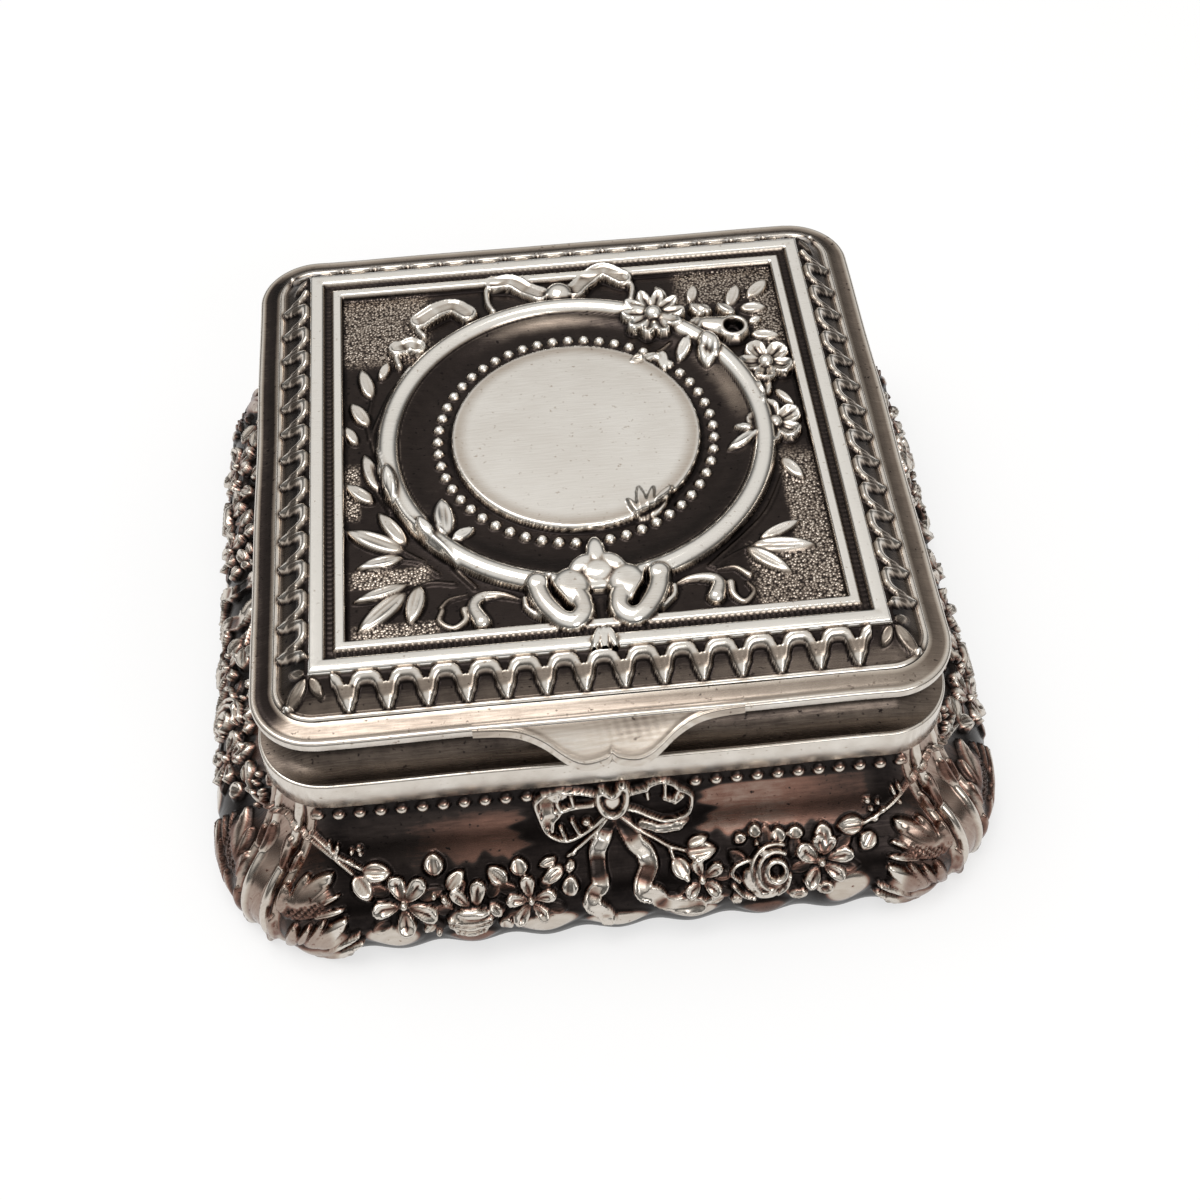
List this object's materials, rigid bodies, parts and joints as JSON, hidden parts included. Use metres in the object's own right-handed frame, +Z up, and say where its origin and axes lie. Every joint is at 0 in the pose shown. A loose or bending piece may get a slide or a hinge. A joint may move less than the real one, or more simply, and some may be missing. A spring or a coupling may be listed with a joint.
{
  "type": "jewel box",
  "caption": "Square die-struck silver jewel box with swelling ogee walls struck with a bow and garlands, acanthus corners, a plain band, and a hinged lid with a ringed medallion, flowers and a front thumbpiece.",
  "frame": {"origin": "centre of the underside, on the surface that the box stands on", "axes": "+Z up, -Y towards the front with the thumbpiece, +Y towards the hinge"},
  "size_m": [0.0884, 0.0884, 0.0337],
  "materials": {
    "struck_silver": "struck silver, polished on the high relief and oxidised black-brown in the recesses",
    "plain_silver": "plain silver, worn soft polish with fine scratches",
    "pin_wire": "drawn wire"
  },
  "bodies": {
    "body": {"body_front_panel": "struck_silver", "body_right_panel": "struck_silver", "body_back_panel": "struck_silver", "body_left_panel": "struck_silver", "corner_leaf_back_right": "struck_silver", "corner_leaf_back_left": "struck_silver", "corner_leaf_front_left": "struck_silver", "corner_leaf_front_right": "struck_silver", "base_plate": "plain_silver", "rim_band": "plain_silver", "rim_neck": "plain_silver", "inner_bezel": "plain_silver", "body_knuckle_1": "plain_silver", "body_knuckle_2": "plain_silver", "body_knuckle_3": "plain_silver", "hinge_pin": "pin_wire"},
    "lid": {"lid_panel": "struck_silver", "lid_flange": "plain_silver", "thumbpiece": "plain_silver", "lid_knuckle_1": "plain_silver", "lid_knuckle_2": "plain_silver"}
  },
  "joints": [
    {"name": "lid_hinge", "type": "hinge", "parent": "body", "child": "lid", "pos_m": [0, 0.033, 0.025], "axis": [-1, 0, 0], "range_deg": [0, 105]}
  ]
}
